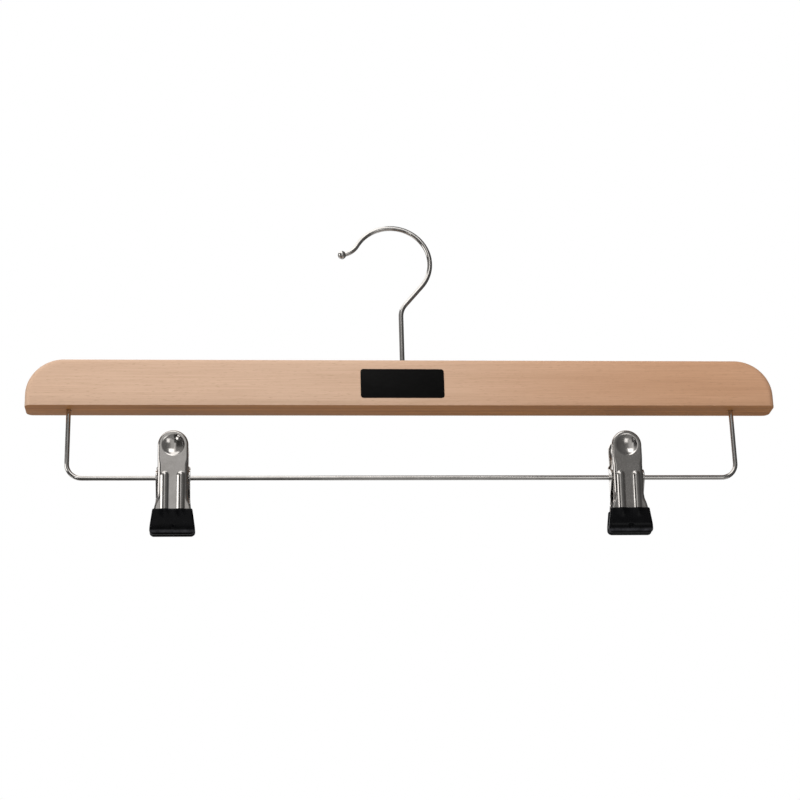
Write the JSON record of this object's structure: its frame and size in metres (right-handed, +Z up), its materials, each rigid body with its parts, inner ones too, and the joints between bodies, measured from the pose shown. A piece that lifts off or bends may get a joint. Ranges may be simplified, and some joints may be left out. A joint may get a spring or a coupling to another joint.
{
  "type": "clip hanger",
  "caption": "Wooden clip hanger: a straight beech bar with a swivelling wire hook, a wire rail below it and sprung metal clips with vinyl grips that slide on the rail.",
  "frame": {"origin": "the point inside the top of the hook's loop that sits on a rod", "axes": "+X along the bar to the right as seen from the front, +Y to the rear, +Z up"},
  "size_m": [0.451, 0.0182, 0.2017],
  "materials": {
    "beech": "fine sanded beech under a thin satin lacquer",
    "label_print": "flat black transfer print, left bare",
    "wire_nickel": "nickel plated drawn wire",
    "bush_steel": "turned steel",
    "spring_steel": "drawn spring wire",
    "clip_nickel": "nickel plated stamped sheet",
    "black_vinyl": "soft black vinyl with a slight gloss"
  },
  "bodies": {
    "hook": {"swivel_hook": "wire_nickel"},
    "bar": {"wooden_bar": "beech", "label": "label_print", "hook_bush": "bush_steel", "trouser_rail": "wire_nickel"},
    "left_tube": {"left_pivot_tube": "bush_steel"},
    "left_front": {"left_front_plate": "clip_nickel", "left_front_grip": "black_vinyl", "left_spring": "spring_steel"},
    "left_rear": {"left_rear_plate": "clip_nickel", "left_rear_grip": "black_vinyl"},
    "right_tube": {"right_pivot_tube": "bush_steel"},
    "right_front": {"right_front_plate": "clip_nickel", "right_front_grip": "black_vinyl", "right_spring": "spring_steel"},
    "right_rear": {"right_rear_plate": "clip_nickel", "right_rear_grip": "black_vinyl"}
  },
  "joints": [
    {"name": "hook_swivel", "type": "hinge", "parent": "hook", "child": "bar", "pos_m": [0.0053, 0, -0.0896], "axis": [0, 0, 1], "continuous": true},
    {"name": "left_clip_slide", "type": "slide", "parent": "bar", "child": "left_tube", "axis": [1, 0, 0], "range_m": [-0.042, 0.123]},
    {"name": "left_clip_swing", "type": "hinge", "parent": "left_tube", "child": "left_front", "pos_m": [-0.1322, 0, -0.1627], "axis": [1, 0, 0], "continuous": true},
    {"name": "left_clip_squeeze", "type": "hinge", "parent": "left_front", "child": "left_rear", "pos_m": [-0.1322, 0, -0.1627], "axis": [1, 0, 0], "range_deg": [0, 25], "stiffness_Nm_per_rad": 0.3, "deforming": ["left_spring"]},
    {"name": "right_clip_slide", "type": "slide", "parent": "bar", "child": "right_tube", "axis": [1, 0, 0], "range_m": [-0.118, 0.046]},
    {"name": "right_clip_swing", "type": "hinge", "parent": "right_tube", "child": "right_front", "pos_m": [0.1384, 0, -0.1627], "axis": [1, 0, 0], "continuous": true},
    {"name": "right_clip_squeeze", "type": "hinge", "parent": "right_front", "child": "right_rear", "pos_m": [0.1384, 0, -0.1627], "axis": [1, 0, 0], "range_deg": [0, 25], "stiffness_Nm_per_rad": 0.3, "deforming": ["right_spring"]}
  ]
}
